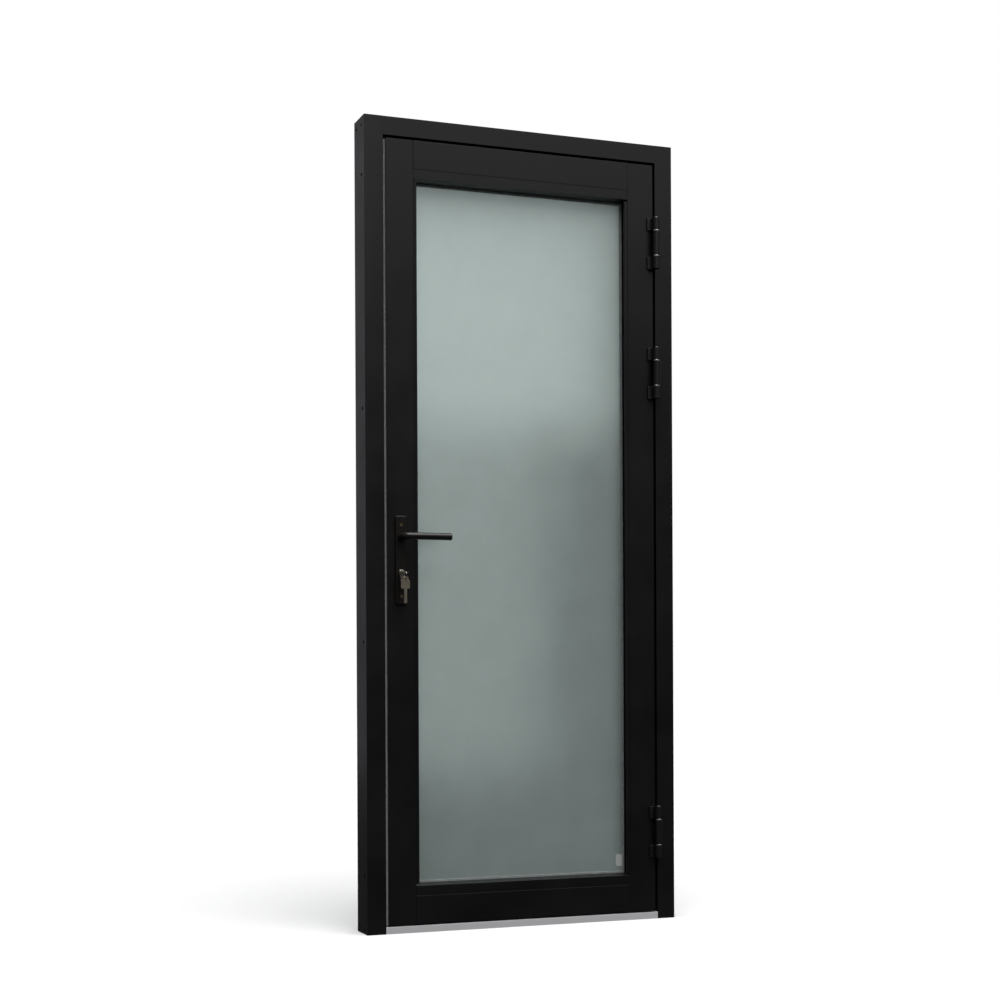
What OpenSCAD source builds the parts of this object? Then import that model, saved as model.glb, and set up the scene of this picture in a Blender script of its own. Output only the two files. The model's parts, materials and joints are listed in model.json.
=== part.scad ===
// Framed glass door: an aluminium leaf with a frosted pane, hung in its own frame.
// X runs across the door, from the lock side (-X) to the hinge side (+X).
// Y runs through it: the leaf opens towards -Y. Z is up, from the underside of the sill.
// The origin is at the middle of the sill's underside.

/* [Frame] */
// Overall width of the frame
frame_w = 870; // [700:5:1100]
// Overall height of the frame
frame_h = 2100; // [1700:5:2600]
// Depth of the frame through the wall
frame_d = 90; // [72:1:150]
// Face width of each jamb
jamb_face = 50; // [40:1:80]
// Face height of the head
head_face = 48; // [40:1:80]
// Height of the sill's tread
sill_h = 18; // [15:1:30]
// How far the sill's back stop stands above its tread
sill_stop_h = 14; // [12:1:25]
// How far the stops reach past the faces of the jambs and head
stop_w = 20; // [16:1:35]
// Wall of the frame's hollow sections
frame_wall = 2; // [1.5:0.1:3]

/* [Leaf] */
// Thickness of the leaf
leaf_t = 46; // [44:0.5:60]
// Gap beside and above the leaf
leaf_gap = 7; // [6.5:0.1:10]
// Gap under the leaf
sill_gap = 4; // [3:0.5:8]
// Face width of each stile
stile_w = 75; // [70:1:110]
// Face height of each rail, without its bead
rail_h = 73; // [60:1:160]
// Face height of the snap-in beads
bead_h = 26; // [22:1:40]
// How far a bead's front stands behind the leaf's face
bead_set_back = 1; // [0.5:0.1:2]
// Wall of the leaf's hollow sections
leaf_wall = 2; // [1.5:0.1:2.5]
// Length of the blocks that join rails to stiles
corner_block_l = 60; // [45:1:100]

/* [Glazing] */
// From the leaf's face back to the pane
glass_set_back = 31; // [29:0.5:33]
// Thickness of the pane
glass_t = 6; // [4:0.5:8]
// How far the pane runs in behind the sight line
glass_edge = 10; // [8:0.5:11]
// Depth of the glazing groove in a stile
groove_depth = 12; // [12:0.5:14]
// How far the lips reach past the sight line
lip_w = 5; // [3:0.5:8]
// How far a gasket shows past its lip
gasket_show = 5; // [3:0.5:8]
// Thickness of the front gasket
gasket_front_t = 3.5; // [2.5:0.1:4]
// Thickness of the back gasket
gasket_back_t = 3; // [2:0.1:4]
// Length of each setting block
setting_block_l = 100; // [60:5:150]

/* [Handle] */
// Height of the lever's axis above the floor
lever_z = 1020; // [850:5:1150]
// From the leaf's lock edge to the lever's axis
backset = 36; // [35:0.5:40]
// Diameter of the lever bar
lever_d = 18.5; // [14:0.5:20]
// From the lever's axis to the tip of the bar
lever_reach = 121; // [90:1:160]
// From the leaf's face to the middle of the bar
lever_proud = 50; // [42:1:65]
// Width of a handle plate
plate_w = 30; // [26:1:36]
// Height of a handle plate above the lever's axis
plate_above = 54; // [50:1:80]
// Height of a handle plate below the lever's axis
plate_below = 173; // [160:1:200]
// Thickness of a handle plate
plate_t = 8; // [5:0.5:10]
// From the lever's axis up to the top plate screw
plate_screw_up = 31.5; // [31:0.5:40]
// From the plate's lower end up to the bottom plate screw
plate_screw_low = 20; // [10:0.5:24]
// Side of the square spindle
spindle_a = 8; // [6:0.5:9]

/* [Lock] */
// From the lever's axis down to the cylinder's axis
lock_centres = 92; // [85:0.5:95]
// Thickness of the lock case
case_t = 15; // [14:0.5:17]
// Depth of the lock case from the forend
case_depth = 57; // [56:0.5:58]
// Sheet of the lock case
case_sheet = 1.2; // [1:0.1:1.5]
// Width of the forend
forend_w = 18; // [17:0.5:20]
// Throw of the latch that the lever draws in
latch_draw = 5.5; // [4:0.1:6]
// Thickness of the latch bolt
latch_t = 12; // [8:0.5:12]
// Height of the latch bolt
latch_h = 26; // [18:1:26]
// Throw of the deadbolt over the key's half turn
bolt_throw = 14; // [10:0.5:15]
// How far the deadbolt stands out at rest
bolt_rest = 4.5; // [2:0.5:5.5]
// Thickness of the deadbolt
bolt_t = 10; // [8:0.5:11]
// Height of the deadbolt
bolt_h = 26; // [20:1:30]
// Diameter of the profile cylinder's round part
cyl_d = 17; // [16.5:0.1:17.5]
// Height of the profile cylinder
cyl_h = 33; // [32:0.5:33]
// Width of the profile cylinder's leg
cyl_leg_w = 10; // [9:0.5:10]
// How far the cylinder stands out of its plate
cyl_proud = 3; // [1:0.5:4]
// Diameter of the cylinder's plug
plug_d = 13; // [12:0.5:14]

/* [Keys] */
// Thickness of a key
key_t = 2.2; // [1.8:0.1:2.4]
// Width of a key's blade
blade_w = 8.5; // [7:0.5:9]
// Diameter of the round key bow
bow_d = 24.4; // [22:0.2:26]
// Mean radius of the key ring
ring_r = 9; // [8.5:0.5:12]
// Thickness of the key ring's wire
ring_wire = 1.4; // [1:0.1:1.5]
// Width of the hanging key's bow
spare_bow_w = 24; // [20:1:26]
// Length of the hanging key's blade
spare_blade_l = 38; // [30:1:45]

/* [Hinges] */
// From each end of the leaf to the nearest hinge's middle
hinge_end = 214; // [120:1:300]
// From the top hinge down to the second one
hinge_second = 352; // [200:1:600]
// Whole height of a hinge
hinge_h = 138; // [120:1:160]
// Height of each outer knuckle
hinge_outer_h = 33; // [25:1:40]
// Diameter of the knuckles
knuckle_d = 18.5; // [16:0.5:22]
// From the leaf's face out to the hinge pin
pin_out = 15.5; // [13:0.5:20]
// Diameter of the hinge pin
pin_d = 8; // [6:0.5:10]
// Thickness of the washers between the knuckles
washer_t = 3; // [2:0.5:4]
// How far a door wing reaches from the pin
door_wing_reach = 21; // [18:0.5:35]
// How far a frame wing reaches from the pin
frame_wing_reach = 19.5; // [18:0.5:35]
// Thickness of the hinge wings
wing_t = 5; // [4:0.5:6]

/* [Seals] */
// Gap between the stops and the back of the leaf
stop_gap = 5; // [4:0.5:7]
// Width of a seal's foot in its groove
seal_foot_w = 4; // [3:0.5:5]
// Depth of a seal's groove
seal_groove = 4; // [3:0.5:5]
// Width of the pile strip in the lock edge
pile_w = 6; // [5:0.5:7]
// Depth of the pile strip's groove
pile_groove = 4; // [3:0.5:5]
// How far the pile stands out of the lock edge
pile_out = 4.5; // [3:0.5:5.5]

/* [Fixings] */
// Number of wall fixings in each jamb
fixing_n = 4; // [3:1:5]
// From each end of a jamb to its nearest fixing
fixing_end = 150; // [120:5:200]
// Diameter of the wall fixing holes
fixing_d = 10.5; // [8:0.5:12]
// Diameter of the assembly screws
screw_d = 4.8; // [4:0.1:5]
// Diameter of the assembly screws' heads
screw_head_d = 9; // [8:0.5:9.5]

/* [Fits] */
// Radial clearance of a part that turns in a bore
run_fit = 0.05; // [0.02:0.01:0.1]
// Clearance between parts that slide or slip together
slip = 0.1; // [0.05:0.05:0.2]
// Clearance that keeps a moving part off its neighbour
clear = 0.3; // [0.2:0.05:0.5]

/* [Hidden] */
$fn = 48;
eps = 0.01;      // overrun of a cut past the face that it opens
past = 1;        // longer overrun, where nothing lies behind the cut

BLACK = "#1c1c1d";
HINGE_BLACK = "#101011";
SILVER = "#b9bcbf";
STEEL = "#8d9093";
GLASS = "#9fb0a6";
GASKET = "#6f7273";
RUBBER = "#232323";
PILE = "#a7a8a6";
PLASTIC = "#3a3a3c";
BRASS = "#9b8a63";

// Planes through the depth
y_front = -frame_d / 2;
y_back = frame_d / 2;
y_leaf_back = y_front + leaf_t;
y_stop = y_leaf_back + stop_gap;
y_glass = y_front + glass_set_back;
y_glass_back = y_glass + glass_t;
y_gasket_front = y_glass - gasket_front_t;
y_back_lip = y_glass_back + gasket_back_t;
y_lock = y_front + leaf_t / 2 + 1;

// Edges of the opening and of the leaf
x_out = frame_w / 2;
x_jamb = x_out - jamb_face;
x_stop = x_jamb - stop_w;
x_leaf = x_jamb - leaf_gap;
x_sight = x_leaf - stile_w;
z_head = frame_h - head_face;
z_leaf0 = sill_h + sill_gap;
z_leaf1 = z_head - leaf_gap;
z_sill_top = sill_h + sill_stop_h;

// Leaf sections, measured in from the leaf's edge
lip_t = 2;
rail_sight = rail_h + bead_h;
platform_h = 11;
glass_inset = rail_sight - glass_edge;
leg_t = 3;
pile_y = y_front + 10;
bead_foot_y = y_front + 12;             // groove that a bead snaps into

// Handle and lock
x_lever = -x_leaf + backset;
z_cyl = lever_z - lock_centres;
neck_r = lever_d / 2;
grub_r = 2.5;
plate_z0 = lever_z - plate_below;
plate_z1 = lever_z + plate_above;
y_plate_front = y_front - plate_t;
y_plate_back = y_leaf_back + plate_t;
plate_screw_z = [lever_z + plate_screw_up, plate_z0 + plate_screw_low];
x_edge = -x_leaf;                       // lock edge of the leaf
x_case0 = x_edge + leaf_wall;
x_case1 = x_edge + leaf_wall + case_depth;
case_z0 = z_cyl - 45;
case_z1 = lever_z + 25;
forend_z0 = case_z0 - 20;
forend_z1 = case_z1 + 20;
bolt_z = z_cyl + 29;
follower_r = 10;
follower_arm = 16;
latch_tail_z = lever_z + 18;            // underside of the latch's tail bar
latch_tail_h = 4;
latch_lug_x = x_lever + 7.5;
cyl_leg = cyl_h - cyl_d / 2;
cam_w = 12;
cam_lobe_r = 13;
cyl_screw_z = z_cyl - 19.5;
y_cyl_front = y_plate_front - cyl_proud;
y_cyl_back = y_plate_back + cyl_proud;
forend_screw_z = [forend_z0 + 8, forend_z1 - 8];
strike_z0 = bolt_z - bolt_h / 2 - 20;
strike_z1 = lever_z + latch_h / 2 + 20;
strike_w = 24;
strike_screw_z = [strike_z0 + 9, strike_z1 - 9];
pocket_depth = bolt_throw + 2;          // the bolt fully out, with room to spare

// Keys: distances in front of the leaf's face
y_shoulder = y_cyl_front - 1;
y_bow = y_shoulder - 13.3;
bow_hole_r = 3;
bow_rim = 1.8;
y_bow_end = y_bow - bow_d / 2;
y_bow_hole = y_bow_end + bow_rim + bow_hole_r;
y_ring = y_bow_end - 1 - clear;
z_ring = z_cyl - ring_r + ring_wire / 2 + key_t / 2 + 0.9;
z_ring_low = z_ring - ring_r;
spare_hole_r = 2.4;
spare_hole_z = z_ring_low + ring_wire / 2 + 0.2 - spare_hole_r;
spare_top = spare_hole_z + spare_hole_r + 3;
spare_tab_h = 8;
spare_bow_h = 23;
spare_t = 2;

// Hinges
x_pin = x_jamb - leaf_gap / 2;
y_pin = y_front - pin_out;
hinge_z = [z_leaf1 - hinge_end, z_leaf1 - hinge_end - hinge_second, z_leaf0 + hinge_end];
washer_gap = washer_t + 2 * slip;
hinge_mid_h = hinge_h - 2 * (hinge_outer_h + washer_gap);
hinge_screw_r = 2;
hinge_screw_head_r = 3.8;
hinge_screw_l = 16;

// Fixings
fixing_pitch = (frame_h - 2 * fixing_end) / (fixing_n - 1);
y_fixing = y_front + 25;
head_port = [[y_fixing, frame_h - head_face / 2], [(y_stop + y_back) / 2, frame_h - head_face / 2]];
sill_port = [[y_fixing, sill_h / 2], [(y_stop + y_back) / 2, z_sill_top / 2]];
port_r = 5;
screw_l = 40;
screw_head_t = 3;
rail_screw_v = [rail_h * 0.27, rail_h * 0.71];
rail_screw_y = y_front + 20.5;
block_top = 5;                           // solid stock round the bead's groove

// ---- shared shapes ----

// An outline drawn in Y and Z, extruded along X
module along_x(x0, x1) {
    translate([x0, 0, 0]) rotate([90, 0, 90]) linear_extrude(x1 - x0) children();
}

// An outline drawn in X and Z, extruded along Y
module along_y(y0, y1) {
    translate([0, y1, 0]) rotate([90, 0, 0]) linear_extrude(y1 - y0) children();
}

module along_z(z0, z1) {
    translate([0, 0, z0]) linear_extrude(z1 - z0) children();
}

module rod_x(x0, x1, r) {
    translate([x0, 0, 0]) rotate([0, 90, 0]) cylinder(h = x1 - x0, r = r);
}

module rod_y(y0, y1, r) {
    translate([0, y1, 0]) rotate([90, 0, 0]) cylinder(h = y1 - y0, r = r);
}

// A rectangle given by two corners
module rect(a, b) {
    translate(a) square(b - a);
}

// A box given by two corners
module block(a, b) {
    translate(a) cube(b - a);
}

module rounded_rect(a, b, r) {
    rect([a[0] + r, a[1]], [b[0] - r, b[1]]);
    rect([a[0], a[1] + r], [b[0], b[1] - r]);
    for (x = [a[0] + r, b[0] - r], z = [a[1] + r, b[1] - r]) translate([x, z]) circle(r);
}

// Pan-head screw along +Z: the head sits below z = 0 and the shank runs up to len
module pan_screw(r, head_r, head_t, len) {
    difference() {
        union() {
            cylinder(h = len, r = r);
            translate([0, 0, -head_t]) cylinder(h = head_t, r = head_r);
        }
        screw_slot(head_r * 1.2, head_t);
    }
}

// Countersunk screw along +Z: the flat head is flush with z = 0
module flat_screw(r, head_r, len) {
    difference() {
        union() {
            cylinder(h = len, r = r);
            cylinder(h = head_r - r, r1 = head_r, r2 = r);
        }
        screw_slot(head_r * 1.2, 0);
    }
}

// Cross recess in a head whose outer face is head_t below z = 0
module screw_slot(size, head_t) {
    for (a = [0, 90])
        rotate([0, 0, a]) translate([-size / 2, -0.5, -head_t - eps]) cube([size, 1, 1 + eps]);
}

// Section of a bulb seal: foot in the groove at y >= 0, hollow bulb towards -y
module seal_section() {
    bulb_r = stop_gap - clear;
    rect([-seal_foot_w / 2 + slip, 0], [seal_foot_w / 2 - slip, seal_groove - slip]);
    intersection() {
        difference() {
            circle(bulb_r);
            translate([0, -bulb_r * 0.4]) circle(bulb_r * 0.35);
        }
        rect([-bulb_r, -bulb_r], [bulb_r, 0]);
    }
}

// ---- frame ----

// Plan of a jamb, from its outer edge inwards along +x
module jamb_section() {
    w = frame_wall;
    seal_x = jamb_face + stop_w * 0.7;
    foot = seal_foot_w / 2;
    difference() {
        union() {
            rect([0, y_front], [jamb_face, y_stop]);
            rect([0, y_stop], [jamb_face + stop_w, y_back]);
        }
        rect([w, y_front + w], [jamb_face - w, y_stop]);
        difference() {
            rect([w, y_stop + w], [jamb_face + stop_w - w, y_back - w]);
            rect([seal_x - foot - w, y_stop], [seal_x + foot + w, y_stop + seal_groove + w]);
        }
        rect([seal_x - foot, y_stop - eps], [seal_x + foot, y_stop + seal_groove]);
    }
}

// A jamb standing on its outer edge, with its fixing and assembly holes
module jamb_blank() {
    difference() {
        along_z(0, frame_h) jamb_section();
        for (i = [0:fixing_n - 1])
            translate([0, y_fixing, fixing_end + i * fixing_pitch])
                rod_x(-past, jamb_face + past, fixing_d / 2);
        for (p = concat(head_port, sill_port)) translate([0, p[0], p[1]]) {
            reach = p[0] > y_stop ? jamb_face + stop_w : jamb_face;
            rod_x(-past, frame_wall + past, screw_head_d / 2 + 1);
            rod_x(reach - frame_wall - past, reach + past, screw_d / 2 + slip);
        }
    }
}

module strike_outline(grow) {
    half = strike_w / 2 + grow;
    rounded_rect([y_lock - half, strike_z0 - grow], [y_lock + half, strike_z1 + grow], 4);
}

module jamb_lock() {
    color(BLACK) difference() {
        translate([-x_out, 0, 0]) jamb_blank();
        along_x(-x_jamb - frame_wall - past, -x_jamb + past) strike_outline(slip);
    }
}

module jamb_hinge() {
    color(BLACK) difference() {
        translate([x_out, 0, 0]) mirror([1, 0, 0]) jamb_blank();
        for (z = hinge_z) hinge_screw_spots(z, 1) rod_y(-past, hinge_screw_l + past, hinge_screw_r + slip);
    }
}

// Outline of the head in Y and Z
module head_section() {
    w = frame_wall;
    seal_z = z_head - stop_w * 0.7;
    foot = seal_foot_w / 2;
    difference() {
        union() {
            rect([y_front, z_head], [y_stop, frame_h]);
            rect([y_stop, z_head - stop_w], [y_back, frame_h]);
        }
        rect([y_front + w, z_head + w], [y_stop, frame_h - w]);
        difference() {
            rect([y_stop + w, z_head - stop_w + w], [y_back - w, frame_h - w]);
            rect([y_stop, seal_z - foot - w], [y_stop + seal_groove + w, seal_z + foot + w]);
        }
        rect([y_stop - eps, seal_z - foot], [y_stop + seal_groove, seal_z + foot]);
    }
    screw_ports(head_port, frame_h - w / 2);
}

// Tubular bosses that the frame screws run into, each on a web up or down to z_web
module screw_ports(ports, z_web) {
    for (p = ports) difference() {
        union() {
            translate(p) circle(port_r);
            rect([p[0] - 1, min(p[1], z_web)], [p[0] + 1, max(p[1], z_web)]);
        }
        translate(p) circle(screw_d / 2 + run_fit);
    }
}

module head() {
    color(BLACK) difference() {
        along_x(-x_jamb, x_jamb) head_section();
        for (s = [-1, 1])
            block([min(s * x_stop, s * (x_jamb + past)), y_stop, z_head - stop_w - past],
                  [max(s * x_stop, s * (x_jamb + past)), y_back + past, frame_h + past]);
    }
}

module sill_section() {
    w = frame_wall;
    seal_z = (z_leaf0 + z_sill_top) / 2;
    foot = seal_foot_w / 2;
    difference() {
        union() {
            rect([y_front, 0], [y_stop, sill_h]);
            rect([y_stop, 0], [y_back, z_sill_top]);
        }
        rect([y_front + w, w], [y_stop, sill_h - w]);
        difference() {
            rect([y_stop + w, w], [y_back - w, z_sill_top - w]);
            rect([y_stop, seal_z - foot - w], [y_stop + seal_groove + w, seal_z + foot + w]);
        }
        rect([y_stop - eps, seal_z - foot], [y_stop + seal_groove, seal_z + foot]);
    }
    screw_ports(sill_port, w / 2);
}

module sill() {
    color(SILVER) difference() {
        along_x(-x_jamb, x_jamb) sill_section();
        for (s = [-1, 1])
            block([min(s * x_stop, s * (x_jamb + past)), y_stop, -past],
                  [max(s * x_stop, s * (x_jamb + past)), y_back + past, z_sill_top + past]);
    }
}

module frame_screws() {
    color(STEEL) for (s = [-1, 1], p = concat(head_port, sill_port)) {
        seat = (p[0] > y_stop ? x_stop : x_jamb) + frame_wall;
        translate([s * seat, p[0], p[1]]) rotate([0, -s * 90, 0])
            pan_screw(screw_d / 2, screw_head_d / 2, screw_head_t, screw_l);
    }
}

module jamb_seal(side) {
    x = side * (x_jamb - stop_w * 0.7);
    color(RUBBER) along_z(sill_h + past, z_head - past) translate([x, y_stop]) seal_section();
}

module seal_lock() { jamb_seal(-1); }
module seal_hinge() { jamb_seal(1); }

// A seal that runs across, from stop to stop
module cross_seal(z) {
    color(RUBBER) along_x(-x_stop, x_stop)
        translate([y_stop, z]) rotate(-90) seal_section();
}

module seal_head() { cross_seal(z_head - stop_w * 0.7); }
module seal_sill() { cross_seal((z_leaf0 + z_sill_top) / 2); }

// Windows for the latch and the deadbolt, in Y and Z
module bolt_windows(grow) {
    rect([y_lock - latch_t / 2 - grow, lever_z - latch_h / 2 - grow],
         [y_lock + latch_t / 2 + grow, lever_z + latch_h / 2 + grow]);
    rect([y_lock - bolt_t / 2 - grow, bolt_z - bolt_h / 2 - grow],
         [y_lock + bolt_t / 2 + grow, bolt_z + bolt_h / 2 + grow]);
}

module strike_plate() {
    color(STEEL) difference() {
        along_x(-x_jamb - frame_wall, -x_jamb) difference() {
            strike_outline(0);
            bolt_windows(1.5);
        }
        for (z = strike_screw_z) translate([-x_jamb, y_lock, z]) rotate([0, -90, 0])
            flat_screw_cut(hinge_screw_r, hinge_screw_head_r);
    }
}

// Clearance hole with a countersink, cut along +Z from z = 0
module flat_screw_cut(r, head_r) {
    translate([0, 0, -past]) cylinder(h = 60, r = r + slip);
    cylinder(h = head_r - r, r1 = head_r + slip, r2 = r + slip);
    translate([0, 0, -past]) cylinder(h = past + eps, r = head_r + slip);
}

// Moulded box behind the strike: it clamps the jamb's wall and stops dust
module strike_box() {
    x1 = -x_jamb - frame_wall;
    x0 = x1 - pocket_depth - 2;
    half = strike_w / 2 + 3;
    color(PLASTIC) difference() {
        along_x(x0, x1) rounded_rect([y_lock - half, strike_z0 - 4], [y_lock + half, strike_z1 + 4], 4);
        along_x(x1 - pocket_depth, x1 + past) bolt_windows(2.5);
        for (z = strike_screw_z) translate([x0 - past, y_lock, z])
            rod_x(0, x1 - x0 + 2 * past, hinge_screw_r + run_fit);
    }
}

module strike_screws() {
    color(STEEL) for (z = strike_screw_z) translate([-x_jamb, y_lock, z]) rotate([0, -90, 0])
        flat_screw(hinge_screw_r, hinge_screw_head_r, 14);
}

// ---- leaf ----

// Plan of a stile, from the leaf's edge inwards along +x; the groove takes the pane
module stile_section(pile) {
    w = leaf_wall;
    difference() {
        union() {
            rect([0, y_front], [stile_w - 2, y_leaf_back]);
            rect([stile_w - 2 - eps, y_front + 2], [stile_w, y_leaf_back]);
            translate([stile_w - 2, y_front + 2]) circle(2);
            rect([stile_w - eps, y_gasket_front - lip_t], [stile_w + lip_w, y_gasket_front]);
            rect([stile_w - eps, y_back_lip], [stile_w + lip_w, y_leaf_back]);
        }
        rect([stile_w - groove_depth, y_gasket_front], [stile_w + eps, y_leaf_back - leg_t]);
        difference() {
            union() {
                rect([w, y_front + w], [stile_w - w, y_gasket_front - lip_t]);
                rect([w, y_front + w], [stile_w - groove_depth - w, y_leaf_back - w]);
            }
            if (pile) rect([0, pile_y - pile_w / 2 - w], [pile_groove + w, pile_y + pile_w / 2 + w]);
        }
        if (pile) rect([-eps, pile_y - pile_w / 2], [pile_groove, pile_y + pile_w / 2]);
    }
}

// A stile standing on the leaf's edge, its lips milled away beside the rails
module stile_blank(pile) {
    difference() {
        along_z(z_leaf0, z_leaf1) stile_section(pile);
        for (z = [z_leaf0 - past, z_leaf1 - rail_sight - lip_w])
            block([stile_w, y_front - past, z],
                  [stile_w + lip_w + past, y_leaf_back + past, z + rail_sight + lip_w + past]);
        for (v = rail_screw_v, z = [z_leaf0 + v, z_leaf1 - v]) translate([0, rail_screw_y, z]) {
            rod_x(-past, leaf_wall + past, screw_head_d / 2 + 0.9);
            rod_x(stile_w - leaf_wall - past, stile_w + past, screw_d / 2 + slip);
        }
    }
}

// Outline of the profile cylinder in X and Z, grown by a clearance
module cylinder_outline(grow) {
    translate([x_lever, z_cyl]) {
        circle(cyl_d / 2 + grow);
        rect([-cyl_leg_w / 2 - grow, cyl_leg_w / 2 - cyl_leg], [cyl_leg_w / 2 + grow, 0]);
        translate([0, cyl_leg_w / 2 - cyl_leg]) circle(cyl_leg_w / 2 + grow);
    }
}

module stile_lock() {
    color(BLACK) difference() {
        translate([x_edge, 0, 0]) stile_blank(true);
        block([x_edge - past, y_lock - forend_w / 2 - slip, forend_z0 - slip],
              [x_edge + leaf_wall, y_lock + forend_w / 2 + slip, forend_z1 + slip]);
        along_y(y_front - past, y_leaf_back + past) {
            cylinder_outline(1);
            translate([x_lever, lever_z]) circle(spindle_a);
            for (z = plate_screw_z) translate([x_lever, z]) circle(screw_d / 2 + 0.6);
        }
    }
}

module stile_hinge() {
    color(BLACK) difference() {
        translate([x_leaf, 0, 0]) mirror([1, 0, 0]) stile_blank(false);
        for (z = hinge_z) hinge_screw_spots(z, -1) rod_y(-past, hinge_screw_l + past, hinge_screw_r + slip);
    }
}

// Outline of a rail in Y and Z, from the leaf's edge (0) towards the pane
module rail_section() {
    w = leaf_wall;
    plat = rail_h + platform_h;
    difference() {
        union() {
            rect([y_front, 0], [y_leaf_back, rail_h]);
            rect([y_gasket_front, rail_h - eps], [y_leaf_back, plat]);
            rect([y_leaf_back - leg_t, plat - eps], [y_leaf_back, rail_sight + lip_w]);
            rect([y_back_lip, rail_sight], [y_leaf_back, rail_sight + lip_w]);
        }
        difference() {
            rect([y_front + w, w], [y_leaf_back - w, rail_h - w]);
            rect([bead_foot_y - 4, rail_h - block_top], [bead_foot_y + 4, rail_h]);
            rect([bead_foot_y - 4, 0], [bead_foot_y + 4, block_top]);
        }
        rect([y_gasket_front + w, rail_h], [y_leaf_back - w, plat - w]);
        rect([bead_foot_y - 2, rail_h - 3], [bead_foot_y + 2, rail_h + eps]);
        rect([bead_foot_y - 2, -eps], [bead_foot_y + 2, 3]);
    }
}

module rail(z0, up) {
    color(BLACK) along_x(-x_sight, x_sight) translate([0, z0]) mirror([0, up ? 0 : 1]) rail_section();
}

module rail_top() { rail(z_leaf1, false); }
module rail_bottom() { rail(z_leaf0, true); }

// Outline of a bead: its ledge slopes down to the gasket
module bead_section() {
    y0 = y_front + bead_set_back;
    w = 1.8;
    difference() {
        polygon([[y0, rail_h], [y_gasket_front, rail_h], [y_gasket_front, rail_sight + lip_w],
                 [y0, rail_sight]]);
        polygon([[y0 + w, rail_h + w], [y_gasket_front - w, rail_h + w],
                 [y_gasket_front - w, rail_sight + lip_w - 1.3 * w], [y0 + w, rail_sight - w]]);
    }
    rect([bead_foot_y - 2 + slip, rail_h - 3 + slip], [bead_foot_y + 2 - slip, rail_h + eps]);
}

module bead(z0, up) {
    color(BLACK) along_x(-x_sight, x_sight) translate([0, z0]) mirror([0, up ? 0 : 1]) bead_section();
}

module bead_top() { bead(z_leaf1, false); }
module bead_bottom() { bead(z_leaf0, true); }

module glass() {
    x = x_sight + glass_edge;
    color(GLASS, 0.6)
        block([-x, y_glass, z_leaf0 + glass_inset], [x, y_glass_back, z_leaf1 - glass_inset]);
}

// A gasket running round the pane, between two depths
module gasket(y0, y1) {
    tuck = 5;
    inner = lip_w + gasket_show;
    z0 = z_leaf0 + rail_sight;
    z1 = z_leaf1 - rail_sight;
    color(GASKET) along_y(y0, y1) difference() {
        rect([-x_sight - tuck, z0 - tuck], [x_sight + tuck, z1 + tuck]);
        rect([-x_sight + inner, z0 + inner], [x_sight - inner, z1 - inner]);
    }
}

module gasket_front() { gasket(y_gasket_front, y_glass); }
module gasket_back() { gasket(y_glass_back, y_back_lip); }

module setting_blocks() {
    z0 = z_leaf0 + rail_h + platform_h;
    z1 = z_leaf0 + glass_inset;
    color(PLASTIC) for (s = [-1, 1])
        translate([s * (x_sight - setting_block_l), 0, 0])
            block([-setting_block_l / 2, y_glass, z0], [setting_block_l / 2, y_glass_back, z1]);
}

// Cast blocks in the rails' ends, clear of the bead grooves
module corner_blocks() {
    inside = leaf_wall + slip;
    color(STEEL) for (s = [-1, 1], up = [0, 1]) translate([0, 0, up ? z_leaf0 : z_leaf1])
        mirror([0, 0, up ? 0 : 1]) difference() {
            block([s > 0 ? x_sight - corner_block_l : -x_sight, y_front + inside, block_top + slip],
                  [s > 0 ? x_sight : -x_sight + corner_block_l, y_leaf_back - inside,
                   rail_h - block_top - slip]);
            for (v = rail_screw_v) translate([0, rail_screw_y, v])
                rod_x(-x_sight - past, x_sight + past, screw_d / 2 + run_fit);
        }
}

module corner_screws() {
    color(STEEL) for (s = [-1, 1], v = rail_screw_v, z = [z_leaf0 + v, z_leaf1 - v])
        translate([s * (x_sight + leaf_wall), rail_screw_y, z]) rotate([0, -s * 90, 0])
            pan_screw(screw_d / 2, screw_head_d / 2, screw_head_t, screw_l);
}

module pile_strip() {
    color(PILE) along_z(z_leaf0, z_leaf1)
        rect([x_edge - pile_out, pile_y - pile_w / 2 + slip],
             [x_edge + pile_groove - slip, pile_y + pile_w / 2 - slip]);
}

// Brush seal in the groove under the bottom rail
module bottom_seal() {
    color(RUBBER) along_x(-x_sight, x_sight)
        rect([bead_foot_y - 2 + slip, z_leaf0 - sill_gap + clear],
             [bead_foot_y + 2 - slip, z_leaf0 + 3 - slip]);
}

// ---- lock ----

// Everything that passes through the lock case's two faces, in X and Z
module case_holes() {
    cylinder_outline(0.6);
    translate([x_lever, lever_z]) circle(follower_r - 2);
}

module lock_case() {
    y0 = y_lock - case_t / 2;
    y1 = y_lock + case_t / 2;
    color(STEEL) difference() {
        union() {
            difference() {
                block([x_case0, y0, case_z0], [x_case1, y1, case_z1]);
                block([x_case0 + case_sheet, y0 - past, case_z0 + case_sheet],
                      [x_case1 - case_sheet, y1 - case_sheet, case_z1 - case_sheet]);
            }
            // lugs behind the stile's wall, which the forend screws pull up against
            for (z = [[forend_z0 - 10, case_z0], [case_z1, forend_z1 + 10]])
                block([x_case0, y0, z[0]], [x_case0 + 4, y1, z[1]]);
            // bush that the cylinder screw passes
            translate([x_case0, y_lock, cyl_screw_z]) rod_x(0, case_sheet, 4);
        }
        along_y(y1 - case_sheet - past, y1 + past) case_holes();
        along_x(x_case0 - past, x_case0 + case_sheet + past) bolt_windows(slip);
        for (z = forend_screw_z) translate([x_case0, y_lock, z])
            rod_x(-past, 4 + past, screw_d / 2 + run_fit);
        translate([x_case0, y_lock, cyl_screw_z]) rod_x(-past, 4 + past, screw_d / 2 + slip);
    }
}

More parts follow.
